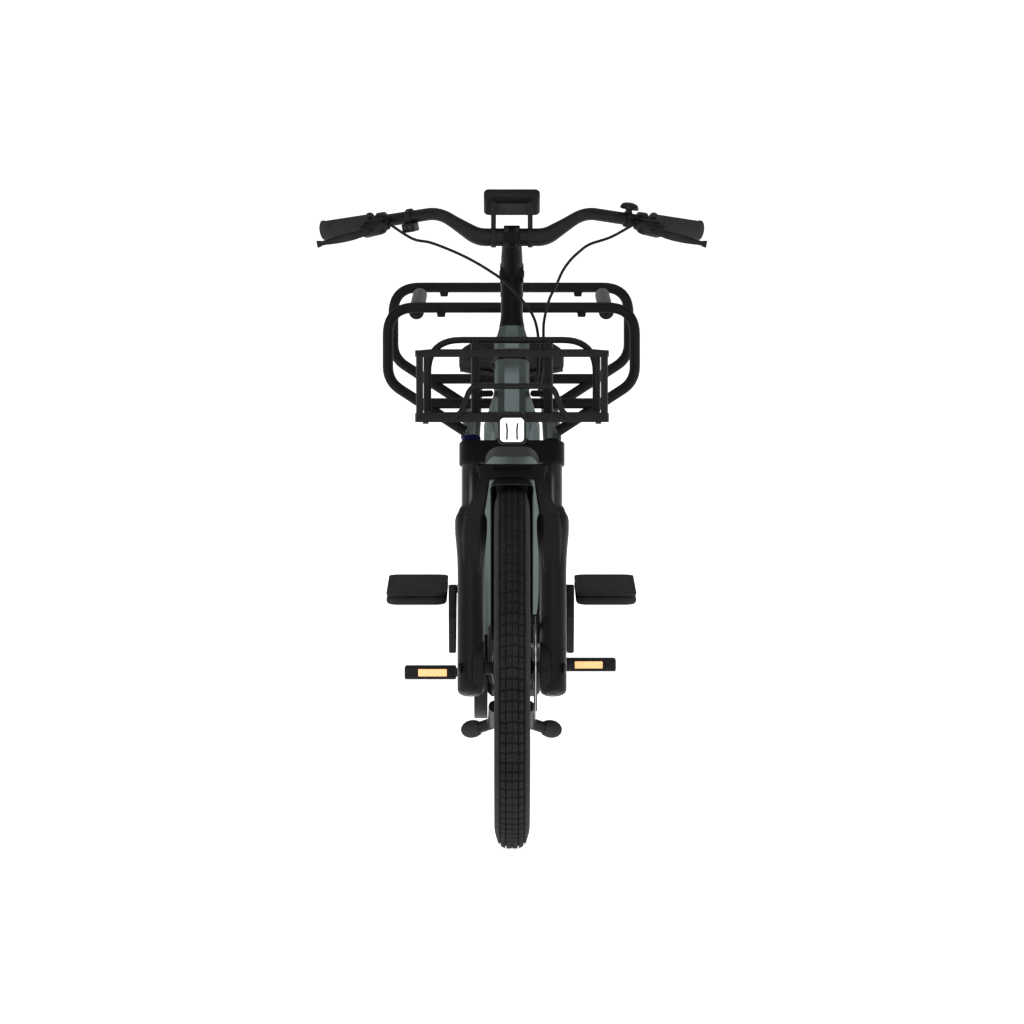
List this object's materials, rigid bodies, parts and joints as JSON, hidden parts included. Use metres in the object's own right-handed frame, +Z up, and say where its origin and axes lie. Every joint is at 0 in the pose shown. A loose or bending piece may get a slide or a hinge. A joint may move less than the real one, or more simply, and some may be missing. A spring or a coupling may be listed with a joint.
{
  "type": "cargo bicycle",
  "caption": "Electric long-tail cargo bicycle with front basket, suspension fork, folding footrests and a rear carrier with padded hand bars.",
  "frame": {"origin": "on the ground, below the middle of the bicycle's length and width", "axes": "+Z up, +Y towards the rear of the bicycle, +X towards its left side"},
  "size_m": [0.696, 2.0525, 1.1414],
  "materials": {
    "frame_paint": "metallic satin",
    "black_paint": "satin powder coat",
    "black_plastic": "fine grain",
    "black_alloy": "anodised black",
    "tyre_rubber": "matt rubber",
    "soft_rubber": "matt rubber",
    "foam": "closed-cell foam",
    "saddle_cover": "grained synthetic cover",
    "bright_steel": "brushed",
    "clear_lens": "clear",
    "red_lens": "translucent",
    "blue_alloy": "anodised blue"
  },
  "bodies": {
    "frame": {"head_tube": "frame_paint", "down_tube": "frame_paint", "battery_pack": "black_plastic", "motor_housing": "black_plastic", "seat_tube": "frame_paint", "top_tube": "frame_paint", "rear_frame_left": "frame_paint", "rear_frame_right": "frame_paint", "carrier_hoop_front": "black_paint", "carrier_hoop_rear": "black_paint", "foam_hand_bar_left": "foam", "foam_hand_bar_right": "foam", "tail_light": "red_lens", "basket_front": "black_paint", "basket_side_left": "black_paint", "basket_side_right": "black_paint", "basket_rear": "black_paint", "basket_floor": "black_paint", "headlight_housing": "black_plastic", "headlight_lens": "clear_lens", "rear_mudguard": "black_plastic", "chain_case": "black_plastic", "kickstand_bracket": "black_paint", "footrest_arm_left": "black_paint", "footrest_arm_right": "black_paint"},
    "steering": {"fork_crown": "black_alloy", "stem": "black_alloy", "handlebar": "black_alloy", "grip_left": "soft_rubber", "grip_right": "soft_rubber", "brake_body_left": "black_alloy", "brake_body_right": "black_alloy", "display": "black_plastic", "assist_remote": "black_plastic", "bell": "black_alloy", "rear_brake_hose": "soft_rubber", "front_brake_hose": "soft_rubber"},
    "fork_lowers": {"fork_lowers": "black_paint", "front_mudguard": "black_plastic", "front_brake_caliper": "black_alloy", "fork_brake_hose": "soft_rubber"},
    "front_wheel": {"front_tyre": "tyre_rubber", "front_wheel": "black_alloy", "front_brake_rotor": "bright_steel"},
    "rear_wheel": {"rear_tyre": "tyre_rubber", "rear_wheel": "black_alloy"},
    "rear_sprocket": {"rear_sprocket": "bright_steel"},
    "crankset": {"crankset": "black_alloy"},
    "pedal_left": {"pedal_left": "black_plastic"},
    "pedal_right": {"pedal_right": "black_plastic"},
    "brake_lever_left": {"brake_lever_left": "black_alloy"},
    "brake_lever_right": {"brake_lever_right": "black_alloy"},
    "lockout_knob": {"fork_lockout_knob": "blue_alloy"},
    "seat": {"seatpost": "black_alloy", "saddle_shell": "black_plastic", "saddle_cushion": "saddle_cover"},
    "seat_clamp_lever": {"seat_clamp_lever": "bright_steel"},
    "kickstand": {"kickstand": "black_alloy"},
    "footrest_left": {"footrest_left": "black_plastic"},
    "footrest_right": {"footrest_right": "black_plastic"}
  },
  "joints": [
    {"name": "steering_turn", "type": "hinge", "parent": "frame", "child": "steering", "pos_m": [0, -0.66871, 0.30011], "axis": [0, 0.342, 0.9397], "range_deg": [-45, 45], "deforming": ["rear_brake_hose", "front_brake_hose"]},
    {"name": "fork_travel", "type": "slide", "parent": "steering", "child": "fork_lowers", "axis": [0, 0.342, 0.9397], "range_m": [0, 0.045], "stiffness_N_per_m": 6000, "springref_m": -0.03, "deforming": ["fork_brake_hose"]},
    {"name": "front_wheel_spin", "type": "hinge", "parent": "fork_lowers", "child": "front_wheel", "pos_m": [0, -0.711, 0.3155], "axis": [1, 0, 0], "continuous": true},
    {"name": "rear_wheel_spin", "type": "hinge", "parent": "frame", "child": "rear_wheel", "pos_m": [0, 0.619, 0.3155], "axis": [1, 0, 0], "continuous": true},
    {"name": "crank_spin", "type": "hinge", "parent": "frame", "child": "crankset", "pos_m": [0, -0.011, 0.235], "axis": [1, 0, 0], "continuous": true},
    {"name": "rear_sprocket_spin", "type": "hinge", "parent": "frame", "child": "rear_sprocket", "pos_m": [0, 0.619, 0.3155], "axis": [1, 0, 0], "continuous": true},
    {"name": "pedal_left_spin", "type": "hinge", "parent": "crankset", "child": "pedal_left", "pos_m": [0.147, 0.1536, 0.22349], "axis": [1, 0, 0], "continuous": true},
    {"name": "pedal_right_spin", "type": "hinge", "parent": "crankset", "child": "pedal_right", "pos_m": [-0.147, -0.1756, 0.24651], "axis": [1, 0, 0], "continuous": true},
    {"name": "brake_lever_left_pull", "type": "hinge", "parent": "steering", "child": "brake_lever_left", "pos_m": [0.25239, -0.46119, 1.06558], "axis": [0.1721, 0, 0.9851], "range_deg": [0, 16], "stiffness_Nm_per_rad": 1.5, "springref_deg": -17.19},
    {"name": "brake_lever_right_pull", "type": "hinge", "parent": "steering", "child": "brake_lever_right", "pos_m": [-0.25239, -0.46119, 1.06558], "axis": [0.1721, 0, -0.9851], "range_deg": [0, 16], "stiffness_Nm_per_rad": 1.5, "springref_deg": -17.19},
    {"name": "lockout_turn", "type": "hinge", "parent": "steering", "child": "lockout_knob", "pos_m": [-0.072, -0.54659, 0.71751], "axis": [0, 0.342, 0.9397], "range_deg": [0, 90]},
    {"name": "seatpost_height", "type": "slide", "parent": "frame", "child": "seat", "axis": [0, 0.4087, 0.9127], "range_m": [-0.06, 0.04]},
    {"name": "seat_clamp_lever_open", "type": "hinge", "parent": "frame", "child": "seat_clamp_lever", "pos_m": [0.0117, 0.1888, 0.58662], "axis": [0, 0, -1], "range_deg": [0, 120]},
    {"name": "kickstand_swing", "type": "hinge", "parent": "frame", "child": "kickstand", "pos_m": [0, 0.079, 0.152], "axis": [-1, 0, 0], "range_deg": [0, 76]},
    {"name": "footrest_left_fold", "type": "hinge", "parent": "frame", "child": "footrest_left", "pos_m": [0.1205, 0.469, 0.344], "axis": [0, -1, 0], "range_deg": [0, 90]},
    {"name": "footrest_right_fold", "type": "hinge", "parent": "frame", "child": "footrest_right", "pos_m": [-0.1205, 0.469, 0.344], "axis": [0, 1, 0], "range_deg": [0, 90]}
  ],
  "couplings": [
    {"joint": "rear_sprocket_spin", "follows": "crank_spin", "ratio": 2.2647}
  ]
}
